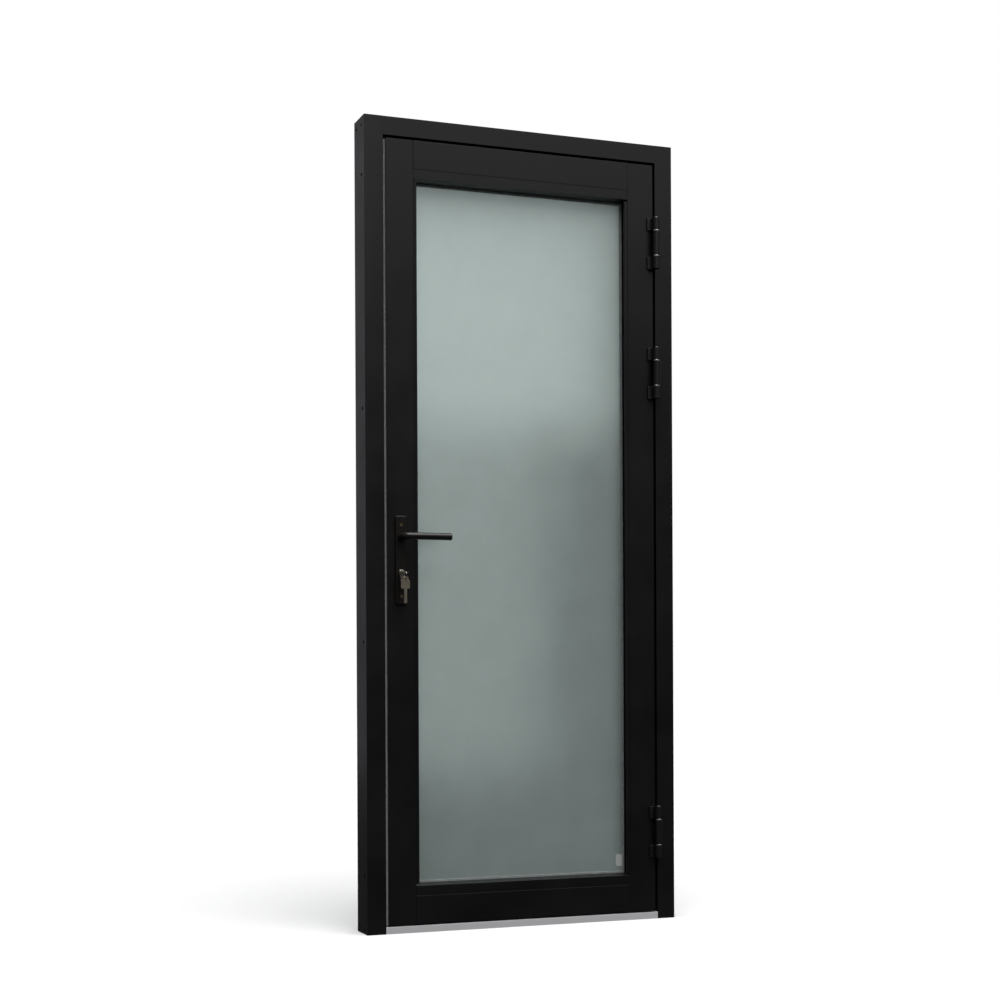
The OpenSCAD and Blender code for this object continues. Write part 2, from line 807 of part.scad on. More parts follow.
// Side plate that closes the case
module lock_cover() {
    y0 = y_lock - case_t / 2;
    color(STEEL) difference() {
        along_y(y0, y0 + case_sheet)
            rect([x_case0 + case_sheet + slip, case_z0 + case_sheet + slip],
                 [x_case1 - case_sheet - slip, case_z1 - case_sheet - slip]);
        along_y(y0 - past, y0 + case_sheet + past) case_holes();
    }
}

module forend() {
    color(STEEL) difference() {
        along_x(x_edge, x_edge + leaf_wall) difference() {
            rect([y_lock - forend_w / 2, forend_z0], [y_lock + forend_w / 2, forend_z1]);
            bolt_windows(slip);
        }
        for (z = concat(forend_screw_z, [cyl_screw_z])) translate([x_edge, y_lock, z]) rotate([0, 90, 0])
            flat_screw_cut(screw_d / 2, screw_head_d / 2 - 0.2);
    }
}

module forend_screws() {
    color(STEEL) for (z = forend_screw_z) translate([x_edge, y_lock, z]) rotate([0, 90, 0])
        flat_screw(screw_d / 2, screw_head_d / 2 - 0.2, 10);
}

module cylinder_screw() {
    color(STEEL) translate([x_edge, y_lock, cyl_screw_z]) rotate([0, 90, 0])
        flat_screw(screw_d / 2, screw_head_d / 2 - 0.2, backset + 4);
}

// Latch: bevelled nose, body, and a tail bar whose lug the follower draws back
module latch_bolt() {
    half = latch_t / 2;
    z0 = lever_z - latch_h / 2;
    z1 = lever_z + latch_h / 2;
    body_end = x_lever - follower_r - latch_draw - 1;
    nose = x_edge - latch_draw;
    tail_z1 = latch_tail_z + latch_tail_h;
    color(STEEL) {
        along_z(z0, z1) polygon([
            [nose, y_lock - half], [body_end, y_lock - half], [body_end, y_lock + half],
            [nose + 10, y_lock + half], [nose, y_lock + half - 9]
        ]);
        block([body_end - 5, y_lock - half + 1, z1 - eps], [body_end, y_lock + half - 1, tail_z1]);
        block([body_end - eps, y_lock - half + 1, latch_tail_z],
              [latch_lug_x + 4, y_lock + half - 1, tail_z1]);
        block([latch_lug_x, y_lock - half + 1, lever_z + 12],
              [latch_lug_x + 4, y_lock + half - 1, latch_tail_z + eps]);
    }
}

// Coil spring behind the latch's tail, drawn as the tube that its coils fill
module latch_spring() {
    x1 = x_case1 - case_sheet;
    x0 = latch_lug_x + 4 + latch_draw + clear;
    z = latch_tail_z - 2.5;
    color(STEEL) translate([0, y_lock, z]) difference() {
        rod_x(x0, x1, 3.4);
        rod_x(x0 - past, x1 + past, 2.4);
    }
}

module deadbolt() {
    half = bolt_t / 2;
    color(SILVER) difference() {
        block([x_edge - bolt_rest, y_lock - half, bolt_z - bolt_h / 2],
              [x_lever + 4, y_lock + half, bolt_z + bolt_h / 2]);
        // relief behind the head
        for (s = [-1, 1]) translate([0, s * half, 0])
            block([x_edge + 14, y_lock - 1, bolt_z - bolt_h / 2 - past],
                  [x_lever + 4 + past, y_lock + 1, bolt_z + bolt_h / 2 + past]);
    }
}

module cylinder_body() {
    color(SILVER) difference() {
        along_y(y_cyl_front, y_cyl_back) cylinder_outline(0);
        translate([x_lever, 0, z_cyl]) rod_y(y_cyl_front - past, y_cyl_back + past, plug_d / 2 + run_fit);
        block([x_lever - cyl_d, y_lock - cam_w / 2, z_cyl - 14],
              [x_lever + cyl_d, y_lock + cam_w / 2, z_cyl + cyl_d]);
        translate([0, y_lock, cyl_screw_z]) rod_x(x_edge, x_lever + cyl_d, screw_d / 2 + run_fit);
    }
}

// Half plug from depth y0 to y1, with the keyway through it
module plug(y0, y1) {
    color(SILVER) translate([x_lever, 0, z_cyl]) difference() {
        rod_y(y0, y1, plug_d / 2);
        block([-blade_w / 2 - slip, y0 - past, -key_t / 2 - slip],
              [blade_w / 2 + slip, y1 + past, key_t / 2 + slip]);
    }
}

module cylinder_plug_front() { plug(y_cyl_front, y_lock - cam_w / 2); }
module cylinder_plug_back() { plug(y_lock + cam_w / 2, y_cyl_back); }

module cylinder_cam() {
    half = cam_w / 2 - clear;
    color(STEEL) translate([x_lever, 0, z_cyl]) difference() {
        union() {
            rod_y(y_lock - half, y_lock + half, cyl_d / 2 - 0.5);
            block([-2.5, y_lock - half, 0], [2.5, y_lock + half, cam_lobe_r - 1]);
            translate([0, 0, cam_lobe_r - 2.5]) rod_y(y_lock - half, y_lock + half, 2.5);
        }
        rod_y(y_lock - half - past, y_lock + half + past, 3);
    }
}

// ---- handle ----

module plate_outline() {
    half = plate_w / 2;
    rounded_rect([x_lever - half, plate_z0], [x_lever + half, plate_z1], 5);
}

module plate(y0, y1) {
    color(BLACK) along_y(y0, y1) difference() {
        plate_outline();
        cylinder_outline(0.4);
        translate([x_lever, lever_z]) circle(neck_r + run_fit);
        for (z = plate_screw_z) translate([x_lever, z]) circle(screw_d / 2 + run_fit);
    }
}

module plate_front() {
    difference() {
        plate(y_plate_front, y_front);
        for (z = plate_screw_z) translate([x_lever, y_plate_front, z])
            rod_y(-past, screw_head_t, screw_head_d / 2 + slip);
    }
}

module plate_back() { plate(y_leaf_back, y_plate_back); }

module plate_screws() {
    seat = y_plate_front + screw_head_t;
    color(HINGE_BLACK) for (z = plate_screw_z) translate([x_lever, seat, z]) rotate([-90, 0, 0])
        pan_screw(screw_d / 2, screw_head_d / 2, screw_head_t - 0.4, y_plate_back - 1 - seat);
}

// A lever on the face at y_face; dir is -1 for the front and 1 for the back
module lever(y_face, dir) {
    bar_y = y_face + dir * lever_proud;
    inner = y_face + dir * 1;
    grub_y = y_face + dir * (plate_t + 10);
    color(HINGE_BLACK) translate([x_lever, 0, lever_z]) difference() {
        union() {
            rod_y(min(bar_y, inner), max(bar_y, inner), neck_r);
            translate([0, bar_y, 0]) sphere(neck_r);
            translate([0, bar_y, 0]) rod_x(0, lever_reach - 1, neck_r);
            translate([0, bar_y, 0]) rod_x(lever_reach - 1 - eps, lever_reach, neck_r - 0.8);
        }
        block([-spindle_a / 2 - slip, min(inner - dir * past, inner + dir * 32), -spindle_a / 2 - slip],
              [spindle_a / 2 + slip, max(inner - dir * past, inner + dir * 32), spindle_a / 2 + slip]);
        translate([0, grub_y, -neck_r - past]) cylinder(h = neck_r, r = grub_r + run_fit);
    }
}

module lever_front() { lever(y_front, -1); }
module lever_back() { lever(y_leaf_back, 1); }

module spindle() {
    a = spindle_a / 2;
    color(STEEL) translate([x_lever, 0, lever_z])
        block([-a, y_front - 31, -a], [a, y_leaf_back + 31, a]);
}

module grub_screws() {
    color(STEEL) for (y = [y_front - plate_t - 10, y_leaf_back + plate_t + 10])
        translate([x_lever, y, lever_z - neck_r + 0.5])
            cylinder(h = neck_r - 0.5 - spindle_a / 2 - slip, r = grub_r);
}

module follower() {
    half = case_t / 2 - case_sheet - slip;
    a = spindle_a / 2 + slip;
    color(STEEL) translate([x_lever, 0, lever_z]) difference() {
        union() {
            rod_y(y_lock - half, y_lock + half, follower_r);
            block([-2.5, y_lock - half + 1, 0], [2.5, y_lock + half - 1, follower_arm]);
        }
        block([-a, y_lock - case_t, -a], [a, y_lock + case_t, a]);
    }
}

// ---- keys ----

// Key in the lock: blade in the keyway, round bow lying level
module key() {
    color(BRASS) translate([x_lever, 0, z_cyl - key_t / 2]) linear_extrude(key_t) difference() {
        union() {
            polygon([
                [-blade_w / 2, y_shoulder - 1], [blade_w / 2, y_shoulder - 1],
                [blade_w / 2, y_shoulder + 22], [1, y_shoulder + 26],
                [-1, y_shoulder + 26], [-blade_w / 2, y_shoulder + 22]
            ]);
            rect([-5.5, y_bow], [5.5, y_shoulder]);
            translate([0, y_bow]) circle(bow_d / 2);
        }
        translate([0, y_bow_hole]) circle(bow_hole_r);
    }
}

module key_ring() {
    color(SILVER) translate([x_lever, y_ring, z_ring]) rotate([0, 90, 0])
        rotate_extrude() translate([ring_r, 0]) circle(ring_wire / 2, $fn = 16);
}

// Key that hangs from the ring, facing the viewer
module spare_key() {
    tab = 8;
    half = spare_bow_w / 2;
    z_bow = spare_top - spare_tab_h;
    z_blade = z_bow - spare_bow_h;
    z_tip = z_blade - spare_blade_l;
    cuts = [0.2, 0.35, 0.5, 0.65, 0.8];
    panel = 5;
    color(BRASS) difference() {
        translate([x_lever, 0, 0]) along_y(y_ring - spare_t / 2, y_ring + spare_t / 2) difference() {
            union() {
                rounded_rect([-tab, z_bow - 4], [tab, spare_top], 2.5);
                rounded_rect([-half, z_blade], [half, z_bow], 4);
                rect([-blade_w / 2, z_tip + 2], [blade_w / 2, z_blade + eps]);
                translate([0, z_tip + 2]) polygon([[-blade_w / 2, 0], [0, -2], [blade_w / 2, 0]]);
            }
            translate([0, spare_hole_z]) circle(spare_hole_r);
            for (c = cuts) translate([-blade_w / 2, z_blade - spare_blade_l * c])
                polygon([[-eps, -2.2], [1.6, -0.8], [1.6, 0.8], [-eps, 2.2]]);
        }
        for (s = [-1, 1]) translate([x_lever, y_ring + s * spare_t / 2, (z_bow + z_blade) / 2])
            block([-panel, -0.4, -panel - 1], [panel, 0.4, panel + 1]);
    }
}

// ---- hinges ----

// Plan of one wing with its knuckle, pin at the origin; side is 1 for the frame
module hinge_section(side, reach) {
    r = knuckle_d / 2;
    edge = leaf_gap / 2;
    mirror([side > 0 ? 1 : 0, 0]) difference() {
        union() {
            circle(r);
            polygon([
                [-reach, pin_out], [-reach, pin_out - wing_t + 1], [-reach + 1, pin_out - wing_t],
                [-r - 1.5, pin_out - wing_t], [-r, 0], [-edge, 0], [-edge, pin_out]
            ]);
        }
        circle(pin_d / 2 + run_fit);
    }
}

// Puts its children at each screw of one hinge on the given side, at the wing's outer face
module hinge_screw_spots(z, side) {
    r = knuckle_d / 2;
    reach = side > 0 ? frame_wing_reach : door_wing_reach;
    x = x_pin + side * (reach - (reach - r - 1.5) / 2 - 0.3);
    inset = 8;
    mid = hinge_mid_h / 2 - inset;
    outer_mid = hinge_h / 2 - hinge_outer_h / 2;
    outer = hinge_outer_h / 2 - inset;
    offsets = side > 0 ? [-mid, 0, mid]
                       : [-outer_mid - outer, -outer_mid + outer, outer_mid - outer, outer_mid + outer];
    for (dz = offsets) translate([x, y_front - wing_t, z + dz]) children();
}

module hinge_frame_wing(z) {
    color(HINGE_BLACK) difference() {
        translate([x_pin, y_pin, 0]) along_z(z - hinge_mid_h / 2, z + hinge_mid_h / 2)
            hinge_section(1, frame_wing_reach);
        hinge_screw_spots(z, 1) rotate([-90, 0, 0]) flat_screw_cut(hinge_screw_r, hinge_screw_head_r - 0.4);
    }
}

module hinge_door_wings(z) {
    color(HINGE_BLACK) difference() {
        for (z0 = [z - hinge_h / 2, z + hinge_h / 2 - hinge_outer_h])
            translate([x_pin, y_pin, 0]) along_z(z0, z0 + hinge_outer_h) hinge_section(-1, door_wing_reach);
        hinge_screw_spots(z, -1) rotate([-90, 0, 0]) flat_screw_cut(hinge_screw_r, hinge_screw_head_r - 0.4);
    }
}

module hinge_top_frame_wing() { hinge_frame_wing(hinge_z[0]); }
module hinge_upper_frame_wing() { hinge_frame_wing(hinge_z[1]); }
module hinge_bottom_frame_wing() { hinge_frame_wing(hinge_z[2]); }
module hinge_top_door_wings() { hinge_door_wings(hinge_z[0]); }
module hinge_upper_door_wings() { hinge_door_wings(hinge_z[1]); }
module hinge_bottom_door_wings() { hinge_door_wings(hinge_z[2]); }

module hinge_pins() {
    cap = 2;
    color(STEEL) for (z = hinge_z) translate([x_pin, y_pin, z]) {
        translate([0, 0, -hinge_h / 2]) cylinder(h = hinge_h, r = pin_d / 2);
        translate([0, 0, hinge_h / 2 + slip]) cylinder(h = cap, r = pin_d / 2 + 2);
        translate([0, 0, hinge_h / 2 - eps]) cylinder(h = slip + 2 * eps, r = pin_d / 2);
    }
}

module hinge_washers() {
    color(SILVER) for (z = hinge_z, s = [-1, 1])
        translate([x_pin, y_pin, z + s * (hinge_mid_h / 2 + washer_gap / 2) - washer_t / 2])
            difference() {
                cylinder(h = washer_t, r = knuckle_d / 2);
                translate([0, 0, -past]) cylinder(h = washer_t + 2 * past, r = pin_d / 2 + run_fit);
            }
}

module hinge_screws_frame() {
    color(HINGE_BLACK) for (z = hinge_z) hinge_screw_spots(z, 1) rotate([-90, 0, 0])
        flat_screw(hinge_screw_r, hinge_screw_head_r - 0.4, hinge_screw_l);
}

module hinge_screws_door() {
    color(HINGE_BLACK) for (z = hinge_z) hinge_screw_spots(z, -1) rotate([-90, 0, 0])
        flat_screw(hinge_screw_r, hinge_screw_head_r - 0.4, hinge_screw_l);
}

jamb_lock();
jamb_hinge();
head();
sill();
frame_screws();
seal_lock();
seal_hinge();
seal_head();
seal_sill();
strike_plate();
strike_box();
strike_screws();
stile_lock();
stile_hinge();
rail_top();
rail_bottom();
bead_top();
bead_bottom();
glass();
gasket_front();
gasket_back();
setting_blocks();
corner_blocks();
corner_screws();
pile_strip();
bottom_seal();
lock_case();
lock_cover();
forend();
forend_screws();
latch_bolt();
latch_spring();
deadbolt();
cylinder_body();
cylinder_plug_front();
cylinder_plug_back();
cylinder_cam();
cylinder_screw();
plate_front();
plate_back();
plate_screws();
lever_front();
lever_back();
spindle();
follower();
grub_screws();
key();
key_ring();
spare_key();
hinge_top_frame_wing();
hinge_upper_frame_wing();
hinge_bottom_frame_wing();
hinge_top_door_wings();
hinge_upper_door_wings();
hinge_bottom_door_wings();
hinge_pins();
hinge_washers();
hinge_screws_frame();
hinge_screws_door();
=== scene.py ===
# %% [markdown]
# # A framed glass door, from frame to finish
# This lesson dresses a door that was drawn exactly in CAD. The CAD parts fix every size and every joint, so
# nothing here moves them. Blender adds what CAD parts lack: softened edges, small parts with real detail, and
# the finishes. Units are metres. X runs across the door, Y through it, and Z up.

# %% Load the CAD parts
import json
import math

import bmesh
import bpy
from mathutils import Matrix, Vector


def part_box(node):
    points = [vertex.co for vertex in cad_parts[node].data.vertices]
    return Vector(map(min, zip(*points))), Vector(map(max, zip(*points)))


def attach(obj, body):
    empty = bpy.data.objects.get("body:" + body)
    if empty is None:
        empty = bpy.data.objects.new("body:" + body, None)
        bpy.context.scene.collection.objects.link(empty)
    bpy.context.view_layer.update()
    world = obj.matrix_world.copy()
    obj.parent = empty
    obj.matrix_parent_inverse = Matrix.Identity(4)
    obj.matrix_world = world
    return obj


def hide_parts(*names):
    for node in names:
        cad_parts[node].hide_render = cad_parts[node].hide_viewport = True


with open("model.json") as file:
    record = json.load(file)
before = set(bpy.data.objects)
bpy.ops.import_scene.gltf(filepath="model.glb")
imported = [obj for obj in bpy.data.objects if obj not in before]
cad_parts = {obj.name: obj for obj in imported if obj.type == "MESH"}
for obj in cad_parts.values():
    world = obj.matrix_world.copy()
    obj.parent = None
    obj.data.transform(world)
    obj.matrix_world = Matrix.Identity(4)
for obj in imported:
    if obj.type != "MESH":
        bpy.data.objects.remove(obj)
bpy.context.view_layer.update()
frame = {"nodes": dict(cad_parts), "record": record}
record = frame["record"]
nodes = frame["nodes"]
body_of = {node: body for body, members in record["behaviour"]["bodies"].items() for node in members}
slot_of = {part["node"]: part["material_slot"] for part in record["subparts"]}
MM = 0.001

# %% [markdown]
# ## The view
# A door is best shown from a little to one side and from a low eye, with its uprights upright. A camera that is
# level keeps them parallel. The lens is then shifted up, as on an architect's camera, to take in the top of the
# door. Tilting the camera instead would make the uprights lean together.

# %% Place the camera
scene = bpy.context.scene
bpy.ops.object.select_all(action="DESELECT")
bpy.ops.object.camera_add(
    location=(-1.7132, -4.3881, 0.6796), rotation=(math.radians(90), math.radians(0.26), math.radians(-20.72))
)
camera = bpy.context.object
camera.name = "view_camera"
camera.data.lens = 63.64
camera.data.sensor_width = 36
camera.data.shift_y = 0.169
scene.camera = camera
scene.view_settings.view_transform = "Standard"
print("camera", [round(v, 3) for v in camera.location], "lens", camera.data.lens, "mm")

# %% [markdown]
# ## Helpers for materials
# A colour is picked as a hex value on the sRGB scale, which is how a screen shows it, and a shader wants linear
# light, so one function converts it. Another adds one node, sets its values and links its inputs, which keeps
# each material short enough to read as a recipe.

# %% Colour and node helpers
def colour(code):
    """An sRGB hex colour as the linear values that a shader wants."""
    parts = [int(code[i : i + 2], 16) / 255 for i in (1, 3, 5)]
    return [p / 12.92 if p <= 0.04045 else ((p + 0.055) / 1.055) ** 2.4 for p in parts] + [1.0]


def add(tree, kind, values=None, links=None, **settings):
    """Adds a node: its settings, the values of its inputs, and what is linked into them."""
    node = tree.nodes.new(kind)
    for name, value in settings.items():
        setattr(node, name, value)
    for name, value in (values or {}).items():
        node.inputs[name].default_value = value
    for name, source in (links or {}).items():
        tree.links.new(source, node.inputs[name])
    return node


def start_material(name, values):
    """A new material with one Principled shader, and the object's own coordinates to hang patterns on."""
    material = bpy.data.materials.new(name)
    material.use_nodes = True
    tree = material.node_tree
    tree.nodes.clear()
    shader = add(tree, "ShaderNodeBsdfPrincipled", values)
    add(tree, "ShaderNodeOutputMaterial", links={"Surface": shader.outputs["BSDF"]})
    place = add(tree, "ShaderNodeTexCoord").outputs["Object"]
    return material, tree, shader, place


finish = {}
print("colour check: mid grey is", [round(c, 3) for c in colour("#808080")])

# %% [markdown]
# ## Powder coat
# The frame and leaf are aluminium extrusions with a black polyester powder coat, sprayed on dry and baked.
# Baking leaves a satin skin with a very fine orange peel, a few tenths of a millimetre across. That is too fine
# to show at this distance, so the bump is drawn at 3 mm. A slow drift in gloss, a hand's width across, stands for
# the uneven film thickness that makes large flat coated faces look real.

# %% Powder coat
powder, tree, shader, place = start_material("powder_coated_aluminium", {"IOR": 1.46})
drift = add(tree, "ShaderNodeTexNoise", {"Scale": 1 / 0.12, "Detail": 3.0}, {"Vector": place})
gloss = add(
    tree, "ShaderNodeMapRange", {"From Min": 0.3, "From Max": 0.7, "To Min": 0.32, "To Max": 0.40},
    {"Value": drift.outputs["Fac"]},
)
tint = add(tree, "ShaderNodeValToRGB", links={"Fac": drift.outputs["Fac"]})
tint.color_ramp.elements[0].position, tint.color_ramp.elements[1].position = 0.35, 0.7
tint.color_ramp.elements[0].color = colour("#09090a")
tint.color_ramp.elements[1].color = colour("#0e0e0f")
peel = add(tree, "ShaderNodeTexNoise", {"Scale": 1 / 0.003, "Detail": 2.0}, {"Vector": place})
bump = add(tree, "ShaderNodeBump", {"Strength": 0.12, "Distance": 0.0004}, {"Height": peel.outputs["Fac"]})
tree.links.new(tint.outputs["Color"], shader.inputs["Base Color"])
tree.links.new(gloss.outputs["Result"], shader.inputs["Roughness"])
tree.links.new(bump.outputs["Normal"], shader.inputs["Normal"])
finish["powder_black"] = powder
print(powder.name, len(tree.nodes), "nodes")

# %% [markdown]
# ## Frosted glass
# The pane is float glass etched with acid on its face. Etching leaves pits a few hundredths of a millimetre wide,
# so light goes through but no shape does: the shader needs both transmission and a high roughness. Float glass
# is faintly green. Etching is never quite even, and cloudy patches a few centimetres across show it. The IOR is
# that of soda-lime glass.

# %% Frosted glass
etched, tree, shader, place = start_material("acid_etched_glass", {"IOR": 1.52, "Transmission Weight": 0.72})
cloud = add(tree, "ShaderNodeTexNoise", {"Scale": 1 / 0.09, "Detail": 5.0, "Roughness": 0.62}, {"Vector": place})
etch_tint = add(tree, "ShaderNodeValToRGB", links={"Fac": cloud.outputs["Fac"]})
etch_tint.color_ramp.elements[0].position, etch_tint.color_ramp.elements[1].position = 0.3, 0.72
etch_tint.color_ramp.elements[0].color = colour("#c3d1cd")
etch_tint.color_ramp.elements[1].color = colour("#cbd9d5")
etch_depth = add(
    tree, "ShaderNodeMapRange", {"From Min": 0.3, "From Max": 0.7, "To Min": 0.52, "To Max": 0.62},
    {"Value": cloud.outputs["Fac"]},
)
# the pits are drawn at 0.8 mm, as fine as a close view can show
pits = add(tree, "ShaderNodeTexNoise", {"Scale": 1 / 0.0008, "Detail": 1.0}, {"Vector": place})
pit_bump = add(tree, "ShaderNodeBump", {"Strength": 0.1, "Distance": 0.0002}, {"Height": pits.outputs["Fac"]})
tree.links.new(etch_tint.outputs["Color"], shader.inputs["Base Color"])
tree.links.new(etch_depth.outputs["Result"], shader.inputs["Roughness"])
tree.links.new(pit_bump.outputs["Normal"], shader.inputs["Normal"])
finish["frosted_glass"] = etched
print(etched.name, len(tree.nodes), "nodes")

# %% [markdown]
# ## Anodised sill
# The sill is an extrusion left silver and anodised. Drawing it through a die leaves fine lines along its length,
# and anodising keeps them under a clear skin. So a noise pattern is stretched along X until it is all lines, and
# it moves both the roughness and a faint bump. Real die lines are about 0.2 mm apart; these are 1 mm, to show.

# %% Anodised sill
anodised, tree, shader, place = start_material("anodised_aluminium", {"Metallic": 0.25})
along = add(tree, "ShaderNodeMapping", {"Scale": (1.5, 900.0, 900.0)}, {"Vector": place})
lines = add(tree, "ShaderNodeTexNoise", {"Scale": 1.0, "Detail": 3.0}, {"Vector": along.outputs["Vector"]})
line_tint = add(tree, "ShaderNodeValToRGB", links={"Fac": lines.outputs["Fac"]})
line_tint.color_ramp.elements[0].color = colour("#dcdcde")
line_tint.color_ramp.elements[1].color = colour("#ececee")
line_gloss = add(
    tree, "ShaderNodeMapRange", {"To Min": 0.30, "To Max": 0.46}, {"Value": lines.outputs["Fac"]}
)
line_bump = add(tree, "ShaderNodeBump", {"Strength": 0.15, "Distance": 0.0003}, {"Height": lines.outputs["Fac"]})
tree.links.new(line_tint.outputs["Color"], shader.inputs["Base Color"])
tree.links.new(line_gloss.outputs["Result"], shader.inputs["Roughness"])
tree.links.new(line_bump.outputs["Normal"], shader.inputs["Normal"])
finish["sill_aluminium"] = anodised
print(anodised.name, len(tree.nodes), "nodes")

# %% [markdown]
# ## Lacquered handle and hinges
# The lever and its plates have a smooth dark lacquer over zinc, a touch warm and glossier than the powder coat.
# The hinges are painted steel, blacker than all around them. Each is a dielectric with a clear reflection that
# wear and handling break up: a fine smudge pattern, 8 mm across, moves the roughness.

# %% Lacquers
for slot_name, title, dark, light, low, high in [
    ("handle_black", "lacquered_zinc", "#110f0c", "#171410", 0.24, 0.38),
    ("hinge_black", "painted_hinge_steel", "#0a0a0a", "#0f0f10", 0.34, 0.48),
    ("hinge_screw", "black_oxide_steel", "#141414", "#1c1b1a", 0.36, 0.52),
]:
    lacquer, tree, shader, place = start_material(title, {"IOR": 1.5})
    smudge = add(tree, "ShaderNodeTexNoise", {"Scale": 1 / 0.008, "Detail": 4.0}, {"Vector": place})
    ramp = add(tree, "ShaderNodeValToRGB", links={"Fac": smudge.outputs["Fac"]})
    ramp.color_ramp.elements[0].color = colour(dark)
    ramp.color_ramp.elements[1].color = colour(light)
    sheen = add(tree, "ShaderNodeMapRange", {"To Min": low, "To Max": high}, {"Value": smudge.outputs["Fac"]})
    tree.links.new(ramp.outputs["Color"], shader.inputs["Base Color"])
    tree.links.new(sheen.outputs["Result"], shader.inputs["Roughness"])
    finish[slot_name] = lacquer
    print(lacquer.name, len(tree.nodes), "nodes")

# %% [markdown]
# ## Bare and plated metals
# The lock, screws and spindle are zinc-plated steel, the cylinder is nickel-plated brass, the washers are turned
# bright, and the keys are cut from dulled nickel silver, which is warmer. The two screws through the lever plates
# are bronzed, so they show as warm spots on the dark plate. All are metals, so Metallic is 1 and the colour is
# that of the reflection. Turning, plating and handling leave patches, so one mottled pattern is used for all of
# them at a scale that suits each.

# %% Metals
for slot_name, title, dark, light, low, high, patch in [
    ("steel", "zinc_plated_steel", "#85888b", "#a6a9ab", 0.30, 0.45, 0.010),
    ("washer_steel", "turned_bright_steel", "#c9cccf", "#e4e6e7", 0.18, 0.30, 0.004),
    ("nickel", "nickel_plated_brass", "#b9b5ab", "#d6d3ca", 0.18, 0.32, 0.005),
    ("key_brass", "dulled_nickel_silver", "#978e7c", "#b3aa97", 0.34, 0.50, 0.004),
    ("plate_screw", "bronzed_steel", "#7c6a54", "#988570", 0.30, 0.45, 0.002),
    ("cast_aluminium", "die_cast_aluminium", "#8b8d8f", "#a5a7a8", 0.45, 0.62, 0.006),
]:
    metal, tree, shader, place = start_material(title, {"Metallic": 1.0})
    mottle = add(tree, "ShaderNodeTexNoise", {"Scale": 1 / patch, "Detail": 4.0}, {"Vector": place})
    ramp = add(tree, "ShaderNodeValToRGB", links={"Fac": mottle.outputs["Fac"]})
    ramp.color_ramp.elements[0].position, ramp.color_ramp.elements[1].position = 0.3, 0.7
    ramp.color_ramp.elements[0].color = colour(dark)
    ramp.color_ramp.elements[1].color = colour(light)
    polish = add(tree, "ShaderNodeMapRange", {"To Min": low, "To Max": high}, {"Value": mottle.outputs["Fac"]})
    tree.links.new(ramp.outputs["Color"], shader.inputs["Base Color"])
    tree.links.new(polish.outputs["Result"], shader.inputs["Roughness"])
    finish[slot_name] = metal
    print(metal.name, len(tree.nodes), "nodes")

# %% [markdown]
# ## Rubber, pile and plastic
# The gaskets are extruded EPDM rubber: dull, with a faint bloom that greys it in patches. The strip in the lock
# edge is a woven polypropylene pile, whose fibres catch light from the side, so it gets some sheen. The pocket
# behind the strike and the setting blocks are moulded in dark nylon with a light spark-eroded grain.

# %% Soft and moulded finishes
for slot_name, title, dark, light, low, high, patch, relief in [
    ("grey_gasket", "grey_epdm_rubber", "#7d8180", "#929695", 0.60, 0.78, 0.015, 0.1),
    ("seal_rubber", "black_epdm_rubber", "#191919", "#242424", 0.62, 0.80, 0.015, 0.1),
    ("grey_pile", "woven_pile", "#8f908e", "#bdbdba", 0.85, 0.95, 0.003, 0.6),
    ("dark_plastic", "moulded_nylon", "#2c2c2e", "#38383a", 0.45, 0.60, 0.002, 0.3),
]:
    values = {"Sheen Weight": 0.35, "Sheen Roughness": 0.5} if slot_name == "grey_pile" else {}
    soft, tree, shader, place = start_material(title, {"IOR": 1.5, **values})
    bloom = add(tree, "ShaderNodeTexNoise", {"Scale": 1 / patch, "Detail": 3.0}, {"Vector": place})
    ramp = add(tree, "ShaderNodeValToRGB", links={"Fac": bloom.outputs["Fac"]})
    ramp.color_ramp.elements[0].position, ramp.color_ramp.elements[1].position = 0.3, 0.7
    ramp.color_ramp.elements[0].color = colour(dark)
    ramp.color_ramp.elements[1].color = colour(light)
    dull = add(tree, "ShaderNodeMapRange", {"To Min": low, "To Max": high}, {"Value": bloom.outputs["Fac"]})
    grain = add(tree, "ShaderNodeBump", {"Strength": relief, "Distance": 0.0003}, {"Height": bloom.outputs["Fac"]})
    tree.links.new(ramp.outputs["Color"], shader.inputs["Base Color"])
    tree.links.new(dull.outputs["Result"], shader.inputs["Roughness"])
    tree.links.new(grain.outputs["Normal"], shader.inputs["Normal"])
    finish[slot_name] = soft
    print(soft.name, len(tree.nodes), "nodes")

# %% Put a finish on every CAD node
for node, part in nodes.items():
    part.data.materials.clear()
    part.data.materials.append(finish["plate_screw" if node == "plate_screws" else slot_of[node]])
print("finishes in use:", len({slot_of[node] for node in nodes}))

# %% [markdown]
# ## Working on a piece
# Every operator acts on what is selected, so a piece is first made the only selected object. A CAD mesh is loose
# triangles: its copy is merged, its flat faces are dissolved back into single faces, and its stored normals are
# cleared, because they would be wrong once the edges are softened. Then edges can be picked by their place and
# bevelled, as a modeller would by hand.

# %% Selection, copying and edge helpers
def only(piece):
    """Makes a piece the only selected object."""
    if bpy.context.mode != "OBJECT":
        bpy.ops.object.mode_set(mode="OBJECT")
    bpy.ops.object.select_all(action="DESELECT")
    piece.select_set(True)
    bpy.context.view_layer.objects.active = piece


def copy_of(node, name):
    """A new object with a merged and cleaned copy of a CAD node's mesh."""
    piece = bpy.data.objects.new(name, nodes[node].data.copy())
    scene.collection.objects.link(piece)
    only(piece)
    bpy.ops.mesh.customdata_custom_splitnormals_clear()
    bpy.ops.object.mode_set(mode="EDIT")
    bpy.ops.mesh.select_all(action="SELECT")
    bpy.ops.mesh.remove_doubles(threshold=0.000002)
    bpy.ops.mesh.dissolve_limited(angle_limit=math.radians(0.5))
    bpy.ops.object.mode_set(mode="OBJECT")
    return piece


